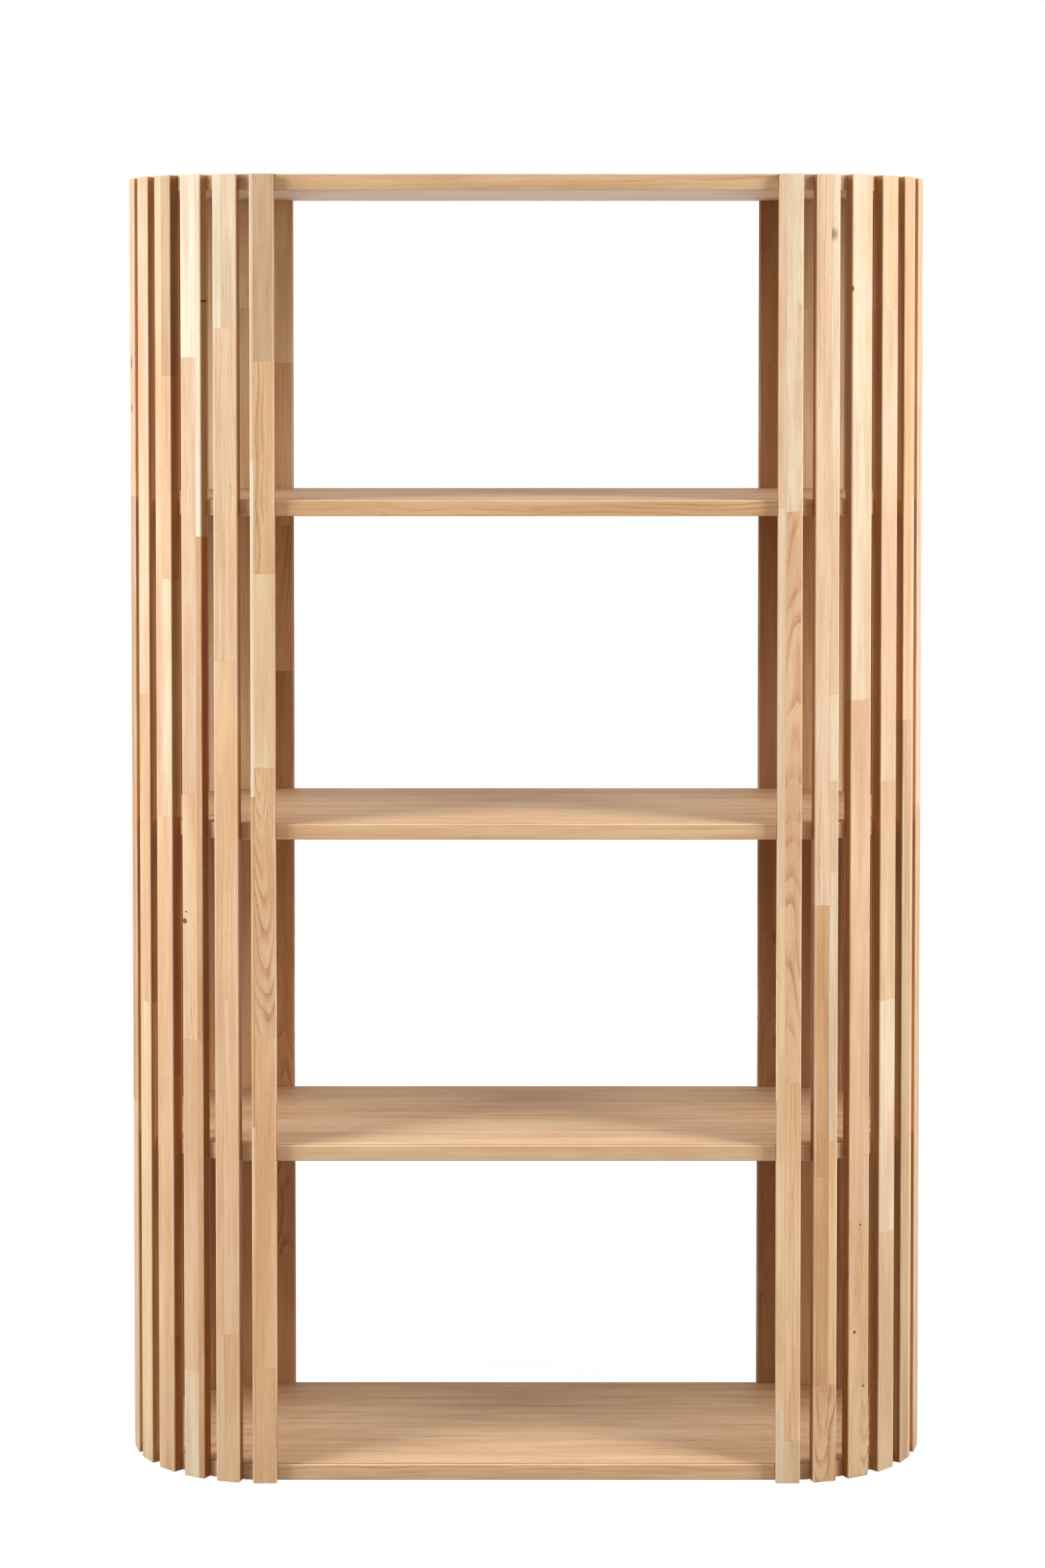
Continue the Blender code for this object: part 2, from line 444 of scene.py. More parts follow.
# %% Cut list
CUT_LIST = {
    "left_front_post": (0.15, (
        ((0.495, "honey", "straight"), (0.950, "russet", "straight"), (1.410, "cream", "straight"),
         (TOP, "pale", "straight")),
        ((0.160, "amber", "wavy"), (0.620, "amber", "straight"), (0.990, "tan", "arched"),
         (1.255, "straw", "straight"), (1.545, "tan", "wavy"), (TOP, "olive", "wavy")),
    )),
    "left_slat_01": (0.36, (
        ((1.135, "peach", "straight"), (1.590, "rose", "slanted"), (TOP, "cream", "straight")),
        ((0.205, "honey", "wavy"), (0.670, "peach", "straight"), (1.135, "honey", "straight"),
         (1.590, "beige", "slanted"), (TOP, "pale", "straight")),
    )),
    "left_slat_02": (0.75, (
        ((0.150, "pale", "slanted"), (0.610, "peach", "straight"), (0.950, "peach", "slanted"),
         (1.550, "rose", "straight"), (TOP, "cream", "straight")),
        ((0.610, "russet", "straight"), (0.850, "russet", "straight"), (1.305, "russet", "straight"),
         (TOP, "cream", "straight")),
    )),
    "left_slat_03": (0.45, (
        ((0.550, "peach", "straight"), (0.915, "peach", "slanted"), (1.400, "rose", "straight"),
         (TOP, "beige", "slanted")),
        ((0.190, "tan", "slanted"), (0.555, "tan", "straight"), (0.915, "tan", "slanted"),
         (1.245, "pale", "straight"), (1.525, "tan", "slanted"), (TOP, "olive", "straight")),
    )),
    "left_slat_04": (None, (
        ((0.650, "straw", "straight"), (1.080, "tan", "straight"), (TOP, "rose", "straight")),
    )),
    "left_slat_05": (None, (
        ((0.500, "beige", "straight"), (0.955, "russet", "straight"), (1.355, "olive", "slanted"),
         (TOP, "beige", "straight")),
    )),
    # Painted light and shade on the rear slats: their inner sides, seen through the gaps, are darkened
    # by shade_umber and russet where they stand in shade, and butter near the top is partly a paler
    # stave and partly painted light.
    "left_slat_10": (None, (
        ((0.440, "shade_umber", "straight"), (0.890, "russet", "straight"), (1.340, "pale", "slanted"),
         (TOP, "butter", "straight")),
    )),
    "left_slat_11": (None, (
        ((0.440, "russet", "straight"), (0.890, "honey", "straight"), (1.620, "straw", "slanted"),
         (TOP, "butter", "straight")),
    )),
    "left_back_post": (None, (
        ((0.215, "russet", "straight"), (0.665, "russet", "arched"), (0.895, "russet", "straight"),
         (1.085, "shade_umber", "slanted"), (1.300, "russet", "arched"), (1.540, "tan", "wavy"),
         (TOP, "butter", "straight")),
    )),
    "right_front_post": (0.33, (
        ((0.100, "pale", "straight"), (0.800, "straw", "straight"), (1.345, "pale", "straight"),
         (TOP, "beige", "straight")),
        ((0.060, "beige", "slanted"), (0.555, "honey", "wavy"), (1.340, "tan", "arched"),
         (TOP, "pale", "arched")),
    )),
    "right_slat_01": (0.62, (
        ((0.135, "tan", "arched"), (0.425, "russet", "straight"), (0.800, "russet", "straight"),
         (TOP, "rose", "slanted")),
        ((0.135, "amber", "arched"), (0.473, "honey", "straight"), (0.845, "pale", "straight"),
         (0.970, "beige", "straight"), (1.090, "pale", "straight"), (1.340, "rose", "straight"),
         (TOP, "pale", "slanted")),
    )),
    "right_slat_02": (None, (
        ((0.360, "honey", "arched"), (1.080, "peach", "straight"), (TOP, "pale", "straight")),
    )),
    "right_slat_03": (None, (
        ((0.335, "beige", "straight"), (0.660, "pale", "slanted"), (0.965, "beige", "straight"),
         (1.615, "rose", "straight"), (TOP, "beige", "straight")),
    )),
    "right_slat_04": (0.70, (
        ((1.045, "olive", "straight"), (1.735, "tan", "straight"), (TOP, "beige", "straight")),
        ((1.045, "peach", "straight"), (1.355, "pale", "straight"), (TOP, "beige", "straight")),
    )),
    # Painted shade: the right rear slats are darker where their inner sides stand in shade
    "right_slat_10": (None, (
        ((0.440, "shade_umber", "straight"), (0.890, "shade_umber", "straight"), (1.340, "butter", "straight"),
         (TOP, "pale", "straight")),
    )),
    "right_slat_11": (None, (
        ((0.440, "amber", "straight"), (0.890, "shade_umber", "straight"), (1.345, "amber", "slanted"),
         (1.620, "butter", "straight"), (TOP, "straw", "straight")),
    )),
    "right_back_post": (None, (
        ((0.160, "shade_umber", "slanted"), (0.700, "shade_umber", "arched"), (1.540, "shade_umber", "straight"),
         (TOP, "shade_umber", "straight")),
    )),
}
print("slats with a set cut list:", len(CUT_LIST))

# %% [markdown]
# ## Knots
# A few small pin knots dot the slats. A knot has a place on the slat, given as shares of half
# its width and half its thickness, a height, and its half size across and up. The knots of a slat
# are listed from the floor up. A flat one is a branch that was sawn along. A knot ends at the seam,
# because the stave beside it comes from another board.

# %% Knots
KNOTS = {
    "left_slat_02": ((-0.74, -1.0, 0.774, 0.0048, 0.0048), (-0.60, -1.0, 0.787, 0.0026, 0.0013),
                     (1.0, 0.0, 1.627, 0.0090, 0.0022)),
    "left_slat_05": ((-0.20, -1.0, 1.478, 0.0050, 0.0070), (-0.20, -1.0, 1.542, 0.0050, 0.0110)),
    "right_slat_01": ((0.26, -0.06, 1.718, 0.0135, 0.0140),),
    "right_slat_02": ((0.44, -1.0, 0.127, 0.0022, 0.0022), (-0.46, -1.0, 0.204, 0.0030, 0.0030),
                      (0.10, -1.0, 0.353, 0.0020, 0.0020), (-1.0, -1.0, 1.644, 0.0026, 0.0052)),
    "left_slat_09": ((0.3, 1.0, 1.12, 0.0035, 0.0045),),
    "right_slat_08": ((-0.3, 1.0, 0.52, 0.0030, 0.0036),),
}
# A place far away, for slats without a knot
NO_KNOT = ((9.0, 9.0, 9.0, 0.01, 0.01),)
print("knots:", sum(len(found) for found in KNOTS.values()))

# %% [markdown]
# ## Staves drawn by lot
# The slats at the sides and the back get staves from a seeded draw, so every run gives the same
# wood. The draw also says how each stave was cut from its log: where the pith lies, how far the
# log leans against the stave, and how strong the figure is. Little lean and a pith at the side
# make straight, quiet grain, and a pith under the face with more lean makes bold arches.

# %% Staves drawn by lot
SEED = 20
# Lowest and highest pith place across and behind the face, lean and strength, for each figure
FIGURES = {
    "straight": ((0.060, 0.010, 0.000, 0.35), (0.130, 0.050, 0.004, 0.85)),
    "slanted": ((0.022, 0.025, 0.004, 0.60), (0.050, 0.060, 0.012, 1.00)),
    "wavy": ((0.020, 0.015, 0.006, 1.10), (0.035, 0.040, 0.014, 1.40)),
    "arched": ((0.000, 0.025, 0.040, 1.35), (0.010, 0.055, 0.085, 1.85)),
}
FIGURE_NAMES = list(FIGURES)
FIGURE_ODDS = (0.45, 0.25, 0.15, 0.15)
STAVE_LENGTHS = (0.22, 0.56)
MOST_STAVES = 9
PLAIN_ODDS = 0.5
SEAM_PLACES = (0.15, 0.3, 0.62, 0.8)
LEAN_ACROSS = 0.4
LOG_LENGTH = 9.0


def drawn_strip(rng):
    """Staves from the floor up: each ends a random length above the one below, until the top."""
    ends = np.cumsum(rng.uniform(*STAVE_LENGTHS, MOST_STAVES))
    ends = np.append(ends[ends < TOP - STAVE_LENGTHS[0] / 2], TOP)
    tones = rng.choice(COMMON_TONES, len(ends))
    figures = rng.choice(FIGURE_NAMES, len(ends), p=FIGURE_ODDS)
    return tuple(zip(ends, tones, figures))


def drawn_plan(rng):
    """A seam on some slats, and a strip of staves on each side of it."""
    if rng.random() < PLAIN_ODDS:
        return None, (drawn_strip(rng),)
    return rng.choice(SEAM_PLACES), (drawn_strip(rng), drawn_strip(rng))


def stave_cut(rng, figure):
    """Pith and lean, each across and behind the face, a start along the log, and the strength."""
    across, behind, lean, strength = rng.uniform(*FIGURES[figure])
    side, way, slope = rng.choice((-1.0, 1.0), 3)
    start = rng.uniform(0.0, LOG_LENGTH)
    return (side * across, way * behind), (LEAN_ACROSS * slope * lean, slope * lean), start, strength


print("figures:", ", ".join(FIGURE_NAMES))

# %% [markdown]
# ## Shape of a slat
# A slat is a bar with rounded arrises. Its half section runs from one side round the front to
# the other side, with a quarter circle at each corner. Each point also has an outward normal, so
# one formula, point minus inset times normal, draws the section smaller at the rounded ends.
# A narrow flat land beside every arc keeps the flat faces flat when the mesh is shaded smooth.

# %% Section of a slat
SLAT_ARRIS = 0.0022
LAND = 0.0005
ARC_STEPS = 5
quarter = np.linspace(0.0, math.pi / 2, ARC_STEPS + 1)


def slat_section(seam_x):
    """Closed section of a slat, anticlockwise, and the outward normal at each point.

    Flats lie at x = ± half the width and y = ± half the thickness, and arcs at
    centre + arris * (cos, sin). The back half mirrors the front half.
    """
    wide, deep = SLAT_WIDTH / 2, SLAT_THICKNESS / 2
    in_x, in_y = wide - SLAT_ARRIS, deep - SLAT_ARRIS
    left = np.stack([-np.cos(quarter), -np.sin(quarter)], axis=1)
    right = np.stack([np.sin(quarter), -np.cos(quarter)], axis=1)
    across = np.array([LAND - in_x, *seam_x, in_x - LAND])
    front = np.stack([across, np.full_like(across, -deep)], axis=1)
    points = np.vstack([
        [[-wide, LAND - in_y]],
        (-in_x, -in_y) + SLAT_ARRIS * left,
        front,
        (in_x, -in_y) + SLAT_ARRIS * right,
        [[wide, LAND - in_y]],
    ])
    ahead = np.tile((0.0, -1.0), (len(front), 1))
    normals = np.vstack([[[-1.0, 0.0]], left, ahead, right, [[1.0, 0.0]]])
    mirror = np.array((1.0, -1.0))
    section = np.vstack([points, (points * mirror)[::-1]])
    return section, np.vstack([normals, (normals * mirror)[::-1]])


print("slat section has", len(slat_section([])[0]), "points")

# %% [markdown]
# ## Rings and faces
# Slats, shelves and dowels are all made of rings of points, one above the other. A rounded edge is
# the same for all: over a quarter turn, the ring moves in as it nears the end. Neighbouring rings
# are joined by four-sided faces, and flat faces close the ends.

# %% Rings and faces
SLAT_END_ARRIS = 0.0015


def rounded_edge(arris, land):
    """Inset and rise from the end on: arris * (1 - sin t) and arris * (1 - cos t), after a flat land."""
    inset = np.append(arris + land, arris * (1 - np.sin(quarter)))
    return inset, np.append(0.0, arris * (1 - np.cos(quarter)))


def tube_quads(rows, columns):
    """Four-sided faces between neighbouring rings, each closed round its columns."""
    here = np.arange(columns)
    after = np.roll(here, -1)
    start = columns * np.arange(rows - 1)[:, None]
    around = (start + here, start + after, start + columns + after, start + columns + here)
    return np.stack(around, axis=-1).reshape(-1, 4)


def capped_tube(rows, columns):
    """Faces of a tube, with one flat face at each end."""
    first = list(range(columns))[::-1]
    last = list(range((rows - 1) * columns, rows * columns))
    return [*tube_quads(rows, columns).tolist(), first, last]


def cap_quads(columns):
    """Faces that close the lowest ring: front point k and its mirror image, with their neighbours."""
    front = np.arange(columns // 2 - 1)
    back = columns - 1 - front
    return np.stack([front, back, back - 1, front + 1], axis=-1)


def slat_shape(seam_x, cuts):
    """Points and faces of a slat: section - inset * normal in each ring, and a ring at each cut."""
    section, normals = slat_section(seam_x)
    inset, rise = rounded_edge(SLAT_END_ARRIS, LAND)
    inset = np.concatenate([inset, np.zeros(len(cuts)), inset[::-1]])
    heights = np.concatenate([rise, cuts, TOP - rise[::-1]])
    flat = section[None] - inset[:, None, None] * normals[None]
    up = np.broadcast_to(heights[:, None, None], (*flat.shape[:2], 1))
    points = np.concatenate([flat, up], axis=2).reshape(-1, 3)
    lowest = cap_quads(len(section))
    highest = (len(heights) - 1) * len(section) + lowest[:, ::-1]
    return points, np.vstack([tube_quads(len(heights), len(section)), lowest, highest])


print("faces of a slat without joints:", len(slat_shape([], [])[1]))

# %% [markdown]
# ## Staves on a slat
# Each face of a slat belongs to one stave, so it has that stave's tone and its place in the log.
# Sawn ends drink more oil than the faces, so they are darker. The sides of the slats stand in the
# shade of their neighbours, and that shade is painted into them as a darker, browner tone.

# %% Staves on a slat
TONE_SPREAD = (0.96, 1.04)
END_GRAIN_SHADE = (0.78, 0.74, 0.70)
# Painted shade on the sides of the slats, which stand in the shade of their neighbours
PAINTED_FLANK_SHADE = (0.63, 0.43, 0.25)
FLAT = 0.00002
STAVE = np.dtype([
    ("strip", int), ("low", float), ("high", float), ("inner", float, 3), ("outer", float, 3),
    ("pith", float, 2), ("lean", float, 2), ("start", float), ("strength", float),
])


def stave_table(rng, strips):
    """One row for each stave, strip by strip and from the floor up."""
    rows = []
    for strip, staves in enumerate(strips):
        low = 0.0
        for high, tone, figure in staves:
            light = rng.uniform(*TONE_SPREAD)
            inner, outer = TONES[tone] * light, TONES[OUTER_TONES.get(tone, tone)] * light
            rows.append((strip, low, high, inner, outer, *stave_cut(rng, figure)))
            low = high
    return np.array(rows, STAVE)


def staves_of_faces(staves, middle, strip):
    """The stave of each face: the last of its strip that starts below the middle of the face."""
    fits = (middle[:, None, 2] >= staves["low"]) & (strip[:, None] == staves["strip"])
    return staves[len(staves) - 1 - np.argmax(fits[:, ::-1], axis=1)]


def face_tones(stave, middle):
    """Tone of each face, with painted shade on its sides, and a vector of its pale arris, its strength
    of figure and nought.
    """
    flank = np.abs(middle[:, 0]) > SLAT_WIDTH / 2 - FLAT
    face = np.abs(middle[:, 1]) > SLAT_THICKNESS / 2 - FLAT
    sawn = np.abs(middle[:, 2] - TOP / 2) > TOP / 2 - FLAT
    # Sawn ends are darker end grain; the sides get the painted shade
    shade = np.where(sawn[:, None], END_GRAIN_SHADE, np.where(flank[:, None], PAINTED_FLANK_SHADE, 1.0))
    outside = middle[:, None, 1] < -LAND
    tone = np.where(outside, stave["outer"], stave["inner"]) * shade
    # Arrises are painted pale: partly rubbing, partly a painted highlight
    wear_and_highlight = np.where(flank | face | sawn, 0.0, 1.0)
    return tone, np.stack([wear_and_highlight, stave["strength"], np.zeros_like(wear_and_highlight)], axis=1)


print("values of a stave:", ", ".join(STAVE.names))

# %% [markdown]
# ## What the corners carry
# The finish needs to know, at each corner of a face, where it lies in the log, which way the
# nearest knot is, and how far the glue lines are. The log leans against the stave, so the pith
# moves aside on the way up. That is what draws slanted lines and arches.

# %% What the corners carry
NO_GLUE = 1.0


def log_places(corners, stave):
    """Across, place + pith + lean * way up the stave. Along, height + start in the log."""
    up = corners[:, :, 2:]
    way = up - stave["low"][:, None, None]
    across = corners[:, :, :2] + stave["pith"][:, None] + stave["lean"][:, None] * way
    return np.concatenate([across, up + stave["start"][:, None, None]], axis=2)


def knot_ways(knots, between, corners, middle, strip, seam_x):
    """Way from the knot that is nearest in height, in half sizes of it."""
    nearest = np.searchsorted(between, middle[:, 2])
    spot = (knots[:, :3] * (SLAT_WIDTH / 2, SLAT_THICKNESS / 2, 1.0))[nearest]
    way = (corners - spot[:, None]) / knots[:, (3, 3, 4)][nearest][:, None]
    if seam_x:
        way[(spot[:, 0] > seam_x[0]) != (strip == 1)] = NO_KNOT[0][:3]
    return way


def glue_distances(corners, stave, seam_x):
    """Distance from the joint below, from the joint above and from the seam."""
    low, high, up = stave["low"][:, None], stave["high"][:, None], corners[:, :, 2]
    below = np.where(low > 0, up - low, NO_GLUE)
    above = np.where(high < TOP, high - up, NO_GLUE)
    beside = np.abs(corners[:, :, 0] - seam_x[0]) if seam_x else np.full_like(up, NO_GLUE)
    return np.stack([below, above, beside], axis=2)


print("glue lines are", GLUE_LINE * 1000, "mm wide on each side of a joint")

# %% [markdown]
# ## Putting a piece into the scene
# Every piece ends the same way: its arrays go into a mesh, the object stays at the origin, and
# the solid it stands for is hidden. All pieces ride on one body, because nothing on this
# bookcase moves.

# %% Piece into the scene
SHARP_ANGLE = math.radians(40)


def place_piece(name, wood, points, faces, material):
    """Makes a mesh from points and faces, smooth but for its corners, and stands it in for a solid."""
    mesh = bpy.data.meshes.new(name)
    mesh.from_pydata(points.tolist(), [], faces)
    mesh.shade_smooth()
    mesh.set_sharp_from_angle(angle=SHARP_ANGLE)
    mesh.materials.append(material)
    piece = bpy.data.objects.new(f"{name}_{wood}", mesh)
    bpy.context.scene.collection.objects.link(piece)
    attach(piece, "root")
    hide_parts(name)
    return piece


def carry(mesh, name, values):
    """Gives every face corner of a mesh its own vector."""
    layer = mesh.attributes.new(name, "FLOAT_VECTOR", "CORNER")
    layer.data.foreach_set("vector", values.astype(np.float32).ravel())


print("ready to place pieces")

# %% [markdown]
# ## Slats
# The section is carried up the slat, with one ring at each butt joint and one column at the seam,
# so no face crosses a glue line. One more ring parts two knots. The bar is then turned about Z to
# face outward, and moved so that its face touches the outer circle.

# %% Slats


def slat_name(end, index):
    """The name of a slat: the first and the last of an end are its posts."""
    if index == 0:
        return f"{end}_front_post"
    if index == SLATS_PER_END - 1:
        return f"{end}_back_post"
    return f"{end}_slat_{index:02d}"


def slat_mesh_data(rng, name):
    """Points, faces and corner values of a slat: X across, -Y outward, Z up from the floor."""
    seam, strips = CUT_LIST.get(name) or drawn_plan(rng)
    seam_x = [] if seam is None else [(seam - 0.5) * SLAT_WIDTH]
    staves = stave_table(rng, strips)
    knots = np.array(KNOTS.get(name, NO_KNOT))
    between = (knots[1:, 2] + knots[:-1, 2]) / 2
    joints = staves["high"][staves["high"] < TOP]
    points, faces = slat_shape(seam_x, np.unique(np.append(joints, between)))
    corners = points[faces]
    middle = corners.mean(axis=1)
    strip = (middle[:, 0] > seam_x[0]).astype(int) if seam_x else np.zeros(len(faces), int)
    stave = staves_of_faces(staves, middle, strip)
    tone, surface = face_tones(stave, middle)
    return points, faces, {
        "grain": log_places(corners, stave),
        "tone": np.repeat(tone[:, None], 4, axis=1),
        "surface": np.repeat(surface[:, None], 4, axis=1),
        "knot": knot_ways(knots, between, corners, middle, strip, seam_x),
        "glue": glue_distances(corners, stave, seam_x),
    }


def stand_slat(points, side, index):
    """Turns a slat by side * pi * index / last about Z, and moves its middle to the slats' circle."""
    angle = math.pi * index / (SLATS_PER_END - 1)
    turn = side * angle
    radius = END_RADIUS - SLAT_THICKNESS / 2
    x = points[:, 0] * math.cos(turn) - points[:, 1] * math.sin(turn)
    y = points[:, 0] * math.sin(turn) + points[:, 1] * math.cos(turn)
    x = x + side * (END_X + radius * math.sin(angle))
    return np.stack([x, y - radius * math.cos(angle), points[:, 2]], axis=1)


for end, side in ENDS:
    for index in range(SLATS_PER_END):
        name = slat_name(end, index)
        rng = np.random.default_rng((SEED, index, side + 1))
        points, faces, values = slat_mesh_data(rng, name)
        stood = stand_slat(points, side, index)
        slat = place_piece(name, "oak", stood, faces.tolist(), slat_oak)
        for kind, value in values.items():
            carry(slat.data, kind, value)
print("slats made:", len(ENDS) * SLATS_PER_END)

# %% [markdown]
# ## Finish of the shelves
# A shelf is an edge-glued panel: long staves lie side by side along it, well matched in tone.
# Here the shader lays the staves itself, because the panel is one flat surface. The row of a
# stave is its place across divided by the stave width, rounded down, and a sine makes the widths
# uneven. Random numbers for the row and the shelf pick its tone, figure and place in the log.

# %% Staves of a shelf
PANEL_STAVE = 0.041
PANEL_UNEVEN = 0.008
PANEL_WAVES = 80.0
# Rows that each shelf is shifted by, and a start that keeps the rows above nought
PANEL_SHIFT = (0.37, 40.5)
# Spread and lowest value of the pith across and below, and of the lean
PANEL_ACROSS = (0.16, -0.08)
PANEL_BELOW = (0.06, 0.03)
PANEL_LEAN = (0.024, -0.012)
PANEL_TONES = ("sand", "oat", "beige", "sand")


def panel_rows(tree, y, level):
    """Row of a stave and how far across it: (y + sway) / width + shift, rounded down, and the rest."""
    shift = maths(tree, "MULTIPLY_ADD", level, *PANEL_SHIFT)
    sway = maths(tree, "SINE", maths(tree, "MULTIPLY_ADD", y, PANEL_WAVES, level))
    swayed = maths(tree, "MULTIPLY_ADD", sway, PANEL_UNEVEN, y)
    rows = maths(tree, "MULTIPLY_ADD", swayed, 1 / PANEL_STAVE, shift)
    return maths(tree, "FLOOR", rows), maths(tree, "FRACT", rows)


def panel_grain(tree, x, y, z, level, draw):
    """Place in the log of a stave: across and below its pith, which leans, and along it."""
    across = maths(tree, "ADD", y, maths(tree, "MULTIPLY_ADD", draw[0], *PANEL_ACROSS))
    below = maths(tree, "MULTIPLY_ADD", draw[1], *PANEL_BELOW)
    lean = maths(tree, "MULTIPLY_ADD", draw[2], *PANEL_LEAN)
    height = maths(tree, "MULTIPLY_ADD", level, -SHELF_PITCH, z)
    deep = maths(tree, "MULTIPLY_ADD", x, lean, maths(tree, "ADD", height, below))
    along = maths(tree, "MULTIPLY_ADD", draw[0], LOG_LENGTH, x)
    return add_node(tree, "CombineXYZ", across, deep, along).outputs[0]


def panel_tone(tree, value):
    """A tone of the panel, or a mixture of two, for a number from nought to one."""
    tones = add_node(tree, "ValToRGB", value)
    stops = tones.color_ramp.elements
    for count, tone in enumerate(PANEL_TONES):
        share = count / (len(PANEL_TONES) - 1)
        stop = stops[count] if count < 2 else stops.new(share)
        stop.position = share
        stop.color = (*TONES[tone], 1.0)
    return tones.outputs[0]


print("staves of a shelf are about", PANEL_STAVE * 1000, "mm wide")

# %% [markdown]
# ## Edges of the shelves
# The edge of a shelf is tinted darker and warmer than its top: painted shade, as the top catches
# more of the light. The rounded arrises are painted pale, partly as rubbing and partly as a
# painted highlight. How far the surface faces up or down tells the edge, the arris and the flat
# faces apart, so one finish does for the whole board.

# %% Shelf finish
PANEL_GLUE_DARK = 0.25
PANEL_FIGURE = (1.1, 0.35)
# Painted shade on the edges of a shelf, darker than the top, which catches more light
PAINTED_EDGE_SHADE = (0.93, 0.87, 0.82, 1.0)
# Upward part of the normal at which the arris begins and ends, and at which the edge ends
ARRIS_BEGINS = (0.05, 0.35)
ARRIS_ENDS = (0.80, 0.98)
EDGE_ENDS = (0.20, 0.60)


def shelf_finish():
    """Oak whose staves run along X, in rows across Y."""
    material, tree, shader = new_material("oiled_oak_shelf")
    x, y, z = parts(tree, add_node(tree, "TexCoord").outputs["Object"])
    level = maths(tree, "ROUND", maths(tree, "DIVIDE", z, SHELF_PITCH))
    row, part = panel_rows(tree, y, level)
    seed = add_node(tree, "CombineXYZ", row, level, 0.0)
    lot = add_node(tree, "TexWhiteNoise", seed.outputs[0])
    draw = parts(tree, lot.outputs[1])
    grain = panel_grain(tree, x, y, z, level, draw)
    nearer = maths(tree, "MINIMUM", part, maths(tree, "SUBTRACT", 1.0, part))
    seam = maths(tree, "MULTIPLY", nearer, PANEL_STAVE)
    line = ramp(tree, seam, 0.0, GLUE_LINE, PANEL_GLUE_DARK, 0.0)

    normal = add_node(tree, "NewGeometry").outputs["Normal"]
    upward = maths(tree, "ABSOLUTE", parts(tree, normal)[2])
    begins = ramp(tree, upward, *ARRIS_BEGINS)
    # Arrises of a shelf are painted pale: partly rubbing, partly a painted highlight
    wear_and_highlight = maths(tree, "MULTIPLY", begins, ramp(tree, upward, *ARRIS_ENDS, 1.0, 0.0))
    # Painted shade: the edges are tinted darker than the top
    edge = ramp(tree, upward, *EDGE_ENDS, 1.0, 0.0)
    tone = blend(tree, edge, panel_tone(tree, lot.outputs[0]), PAINTED_EDGE_SHADE, "MULTIPLY")
    figure = maths(tree, "MULTIPLY_ADD", draw[1], *PANEL_FIGURE)
    finish_oak(tree, shader, grain, tone, line, wear_and_highlight, figure)
    return material


shelf_oak = shelf_finish()
print("made", shelf_oak.name)

# %% [markdown]
# ## Shelves
# A shelf has straight sides and half-round ends, with a shallow housing for every slat. Its
# outline is worked out once as a closed path, and an edge profile with rounded arrises is carried
# round it. The inward way at each point is the mitre of its two sides. Inside the housings
# the arris is almost sharp, as a saw leaves it. One flat face closes the top, one the bottom.

# %% Outline of a shelf
SHELF_ARRIS = 0.0018
HOUSING_ARRIS = 0.0003
HOUSING_GAP = 0.0003
RIM_STEPS = 5


def shelf_outline():
    """Path round a shelf, anticlockwise, and the arris at each point.

    A housing is four points turned by pi * index / last, and the rim between two housings is an
    arc of the shelf radius. The left end mirrors the right end.
    """
    half = SLAT_WIDTH / 2 + HOUSING_GAP
    rim = math.sqrt(SHELF_RADIUS ** 2 - half ** 2)
    floor = SLAT_BACK_RADIUS - HOUSING_GAP
    angles = np.linspace(0.0, math.pi, SLATS_PER_END)
    local = np.array([(-half, rim), (-half, floor), (half, floor), (half, rim)])
    turned_x = local[:, 0] * np.cos(angles)[:, None] + local[:, 1] * np.sin(angles)[:, None]
    turned_y = local[:, 0] * np.sin(angles)[:, None] - local[:, 1] * np.cos(angles)[:, None]
    housings = np.stack([turned_x, turned_y], axis=-1)
    housings[0, 0, 1] = -SHELF_RADIUS
    housings[-1, -1, 1] = SHELF_RADIUS
    spread = math.asin(half / SHELF_RADIUS)
    gap = np.linspace(spread, angles[1] - spread, RIM_STEPS + 2)[1:-1]
    swept = angles[:-1, None] + gap
    arcs = SHELF_RADIUS * np.stack([np.sin(swept), -np.cos(swept)], axis=-1)
    run = np.concatenate([housings[:-1], arcs], axis=1).reshape(-1, 2)
    right = np.concatenate([run, housings[-1]]) + (END_X, 0.0)
    left = (right * (-1.0, 1.0))[::-1]
    sharp = np.array([SHELF_ARRIS, HOUSING_ARRIS, HOUSING_ARRIS, SHELF_ARRIS])
    step = np.append(sharp, np.full(RIM_STEPS, SHELF_ARRIS))
    arris = np.append(np.tile(step, SLATS_PER_END - 1), sharp)
    return np.concatenate([right, left]), np.concatenate([arris, arris[::-1]])


print("points in the outline of a shelf:", len(shelf_outline()[0]))

# %% Shelves


def inward_mitres(path):
    """The way in at each point: (n1 + n2) / (1 + n1 . n2), from the inward normals of its sides."""
    ahead = np.roll(path, -1, axis=0) - path
    ahead = ahead / np.linalg.norm(ahead, axis=1, keepdims=True)
    normal = np.stack([-ahead[:, 1], ahead[:, 0]], axis=1)
    before = np.roll(normal, 1, axis=0)
    return (normal + before) / (1 + np.sum(normal * before, axis=1, keepdims=True))


def shelf_mesh_data(bottom):
    """Rings from the bottom face round the edge to the top face: path + arris * inset * mitre."""
    path, arris = shelf_outline()
    inset, rise = rounded_edge(1.0, LAND / SHELF_ARRIS)
    inset = np.append(inset, inset[::-1])[:, None]
    low = arris * rise[:, None]
    height = np.concatenate([low, SHELF_THICKNESS - low[::-1]]) + bottom
    flat = path[None] + (inset * arris)[:, :, None] * inward_mitres(path)[None]
    points = np.concatenate([flat, height[:, :, None]], axis=2).reshape(-1, 3)
    return points, capped_tube(len(inset), len(path))


for shelf_name in SHELVES:
    points, faces = shelf_mesh_data(node_box(shelf_name)[0][2])
    place_piece(shelf_name, "oak", points, faces, shelf_oak)
print("shelves made:", len(SHELVES))

